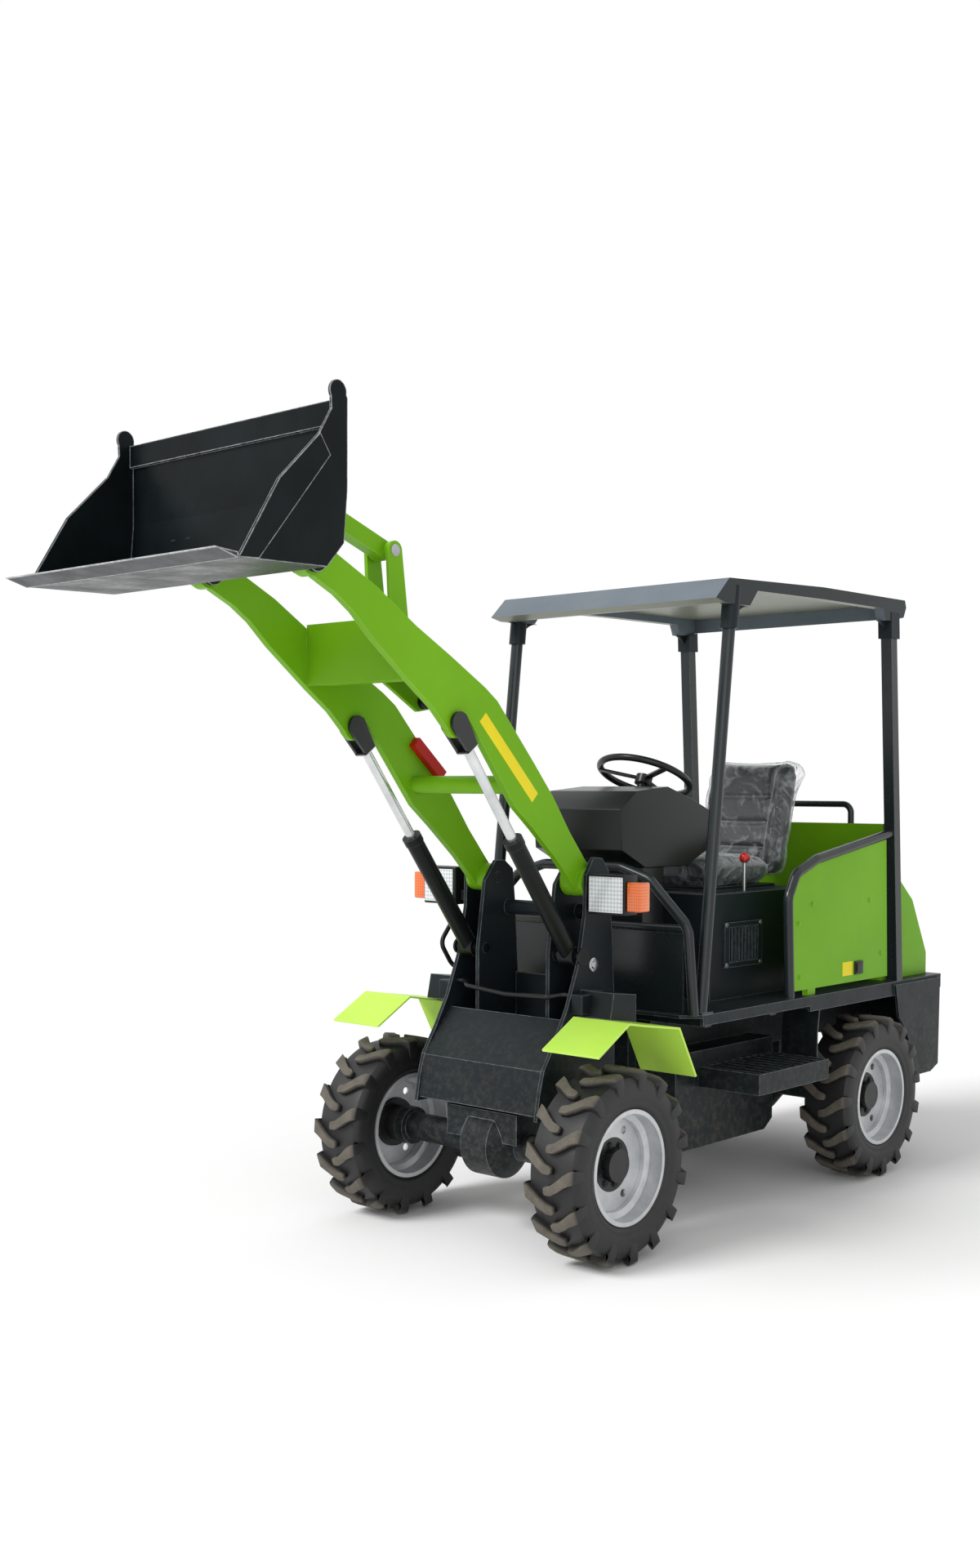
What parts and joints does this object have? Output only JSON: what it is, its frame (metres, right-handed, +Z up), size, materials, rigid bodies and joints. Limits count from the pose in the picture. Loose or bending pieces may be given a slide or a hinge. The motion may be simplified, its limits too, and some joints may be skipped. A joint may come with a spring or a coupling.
{
  "type": "compact articulated wheel loader",
  "caption": "Compact articulated wheel loader with open canopy, lugged tyres, raised boom arms, tilt linkage and a digging bucket held high.",
  "frame": {"origin": "on the ground plane under the middle of the machine's bounding box", "axes": "+Z up, +Y toward the rear of the machine (it faces -Y), +X toward its left"},
  "size_m": [1.288, 4.1789, 2.792],
  "materials": {
    "green_paint": "gloss",
    "dark_paint": "satin",
    "slate_plastic": "satin",
    "bucket_paint": "satin",
    "steel": "satin",
    "chrome": "polished",
    "tyre": "matte",
    "rim_silver": "satin",
    "black_plastic": "matte",
    "red_plastic": "gloss",
    "clear_lens": "polished",
    "amber_lens": "gloss",
    "seat_cover": "satin",
    "engine": "rough"
  },
  "bodies": {
    "rear_frame": {"chassis": "dark_paint", "axle_rear": "dark_paint", "pivot_pin": "steel", "platform": "dark_paint", "steps": "dark_paint", "rear_fenders": "dark_paint", "rear_hood": "green_paint", "engine_block": "engine", "counterweight": "dark_paint", "seat_box": "dark_paint", "grilles": "dark_paint", "seat_cushion": "seat_cover", "seat_back": "seat_cover", "dash": "slate_plastic", "steering_wheel": "black_plastic", "levers": "red_plastic", "posts": "dark_paint", "roof": "slate_plastic", "front_guard": "dark_paint", "side_guards": "dark_paint", "side_panels": "green_paint", "grab_rail": "dark_paint", "roof_brackets": "slate_plastic"},
    "front_frame": {"tower": "dark_paint", "axle_front": "dark_paint", "shield": "dark_paint", "front_fenders": "green_paint", "lamp_bodies": "black_plastic", "lamp_lenses": "clear_lens", "indicators": "amber_lens", "tower_pins": "steel", "hoses": "black_plastic"},
    "boom": {"boom": "green_paint", "boom_pins": "steel", "safety_prop": "red_plastic"},
    "bucket": {"bucket": "bucket_paint", "cutting_edge": "bucket_paint", "bucket_pins": "steel"},
    "rocker": {"rocker": "green_paint", "rocker_pins": "steel"},
    "tilt_link": {"tilt_link": "green_paint"},
    "lift_barrels": {"lift_barrels": "dark_paint"},
    "lift_rods": {"lift_rods": "chrome"},
    "tilt_barrel": {"tilt_barrel": "dark_paint"},
    "tilt_rod": {"tilt_rod": "chrome"},
    "steering_barrel": {"steering_barrel": "dark_paint"},
    "steering_rod": {"steering_rod": "chrome"},
    "wheel_front_left": {"tyre_front_left": "tyre", "rim_front_left": "rim_silver"},
    "wheel_front_right": {"tyre_front_right": "tyre", "rim_front_right": "rim_silver"},
    "wheel_rear_left": {"tyre_rear_left": "tyre", "rim_rear_left": "rim_silver"},
    "wheel_rear_right": {"tyre_rear_right": "tyre", "rim_rear_right": "rim_silver"}
  },
  "joints": [
    {"name": "articulation", "type": "hinge", "parent": "rear_frame", "child": "front_frame", "pos_m": [0, 0.0255, 0.56], "axis": [0, 0, 1], "range_deg": [-25, 25]},
    {"name": "boom_lift", "type": "hinge", "parent": "front_frame", "child": "boom", "pos_m": [0, -0.1995, 1.3], "axis": [-1, 0, 0], "range_deg": [-85, 5]},
    {"name": "bucket_tilt", "type": "hinge", "parent": "boom", "child": "bucket", "pos_m": [0, -1.5295, 2.32], "axis": [1, 0, 0], "range_deg": [-90, 40]},
    {"name": "rocker_turn", "type": "hinge", "parent": "boom", "child": "rocker", "pos_m": [0, -0.9495, 2.11], "axis": [1, 0, 0], "range_deg": [-90.36, 40.36]},
    {"name": "link_turn", "type": "hinge", "parent": "rocker", "child": "tilt_link", "pos_m": [0, -0.9725, 2.43], "axis": [1, 0, 0], "range_deg": [-40.36, 90.36]},
    {"name": "lift_barrels_turn", "type": "hinge", "parent": "front_frame", "child": "lift_barrels", "pos_m": [0, -0.2645, 1.034], "axis": [-1, 0, 0], "range_deg": [-87.05, 5.45]},
    {"name": "lift_rods_slide", "type": "slide", "parent": "lift_barrels", "child": "lift_rods", "axis": [0, -0.6011, 0.7992], "range_m": [-0.37981, 0.02377]},
    {"name": "tilt_barrel_turn", "type": "hinge", "parent": "boom", "child": "tilt_barrel", "pos_m": [0, -0.7195, 1.94], "axis": [1, 0, 0], "range_deg": [-0.91, 0.41]},
    {"name": "tilt_rod_slide", "type": "slide", "parent": "tilt_barrel", "child": "tilt_rod", "axis": [0, -0.6821, 0.7312], "range_m": [-0.07097, 0.0317]},
    {"name": "steering_barrel_turn", "type": "hinge", "parent": "rear_frame", "child": "steering_barrel", "pos_m": [-0.32, 0.5105, 0.69], "axis": [0, 0, 1], "range_deg": [-1.51, 1.51]},
    {"name": "steering_rod_slide", "type": "slide", "parent": "steering_barrel", "child": "steering_rod", "axis": [0.1267, -0.9919, 0], "range_m": [-0.11215, 0.11215]},
    {"name": "wheel_front_left_spin", "type": "hinge", "parent": "front_frame", "child": "wheel_front_left", "pos_m": [0.5225, -0.3895, 0.34], "axis": [1, 0, 0], "continuous": true},
    {"name": "wheel_front_right_spin", "type": "hinge", "parent": "front_frame", "child": "wheel_front_right", "pos_m": [-0.5225, -0.3895, 0.34], "axis": [1, 0, 0], "continuous": true},
    {"name": "wheel_rear_left_spin", "type": "hinge", "parent": "rear_frame", "child": "wheel_rear_left", "pos_m": [0.5225, 1.373, 0.34], "axis": [1, 0, 0], "continuous": true},
    {"name": "wheel_rear_right_spin", "type": "hinge", "parent": "rear_frame", "child": "wheel_rear_right", "pos_m": [-0.5225, 1.373, 0.34], "axis": [1, 0, 0], "continuous": true}
  ],
  "couplings": [
    {"joint": "rocker_turn", "follows": "bucket_tilt", "ratio": 1},
    {"joint": "link_turn", "follows": "bucket_tilt", "ratio": -1},
    {"joint": "tilt_barrel_turn", "follows": "bucket_tilt", "ratio": 0.01},
    {"joint": "tilt_rod_slide", "follows": "bucket_tilt", "m_per_rad": 0.045},
    {"joint": "lift_barrels_turn", "follows": "boom_lift", "ratio": 1.02},
    {"joint": "lift_rods_slide", "follows": "boom_lift", "m_per_rad": 0.255},
    {"joint": "steering_barrel_turn", "follows": "articulation", "ratio": 0.06},
    {"joint": "steering_rod_slide", "follows": "articulation", "m_per_rad": 0.256}
  ]
}
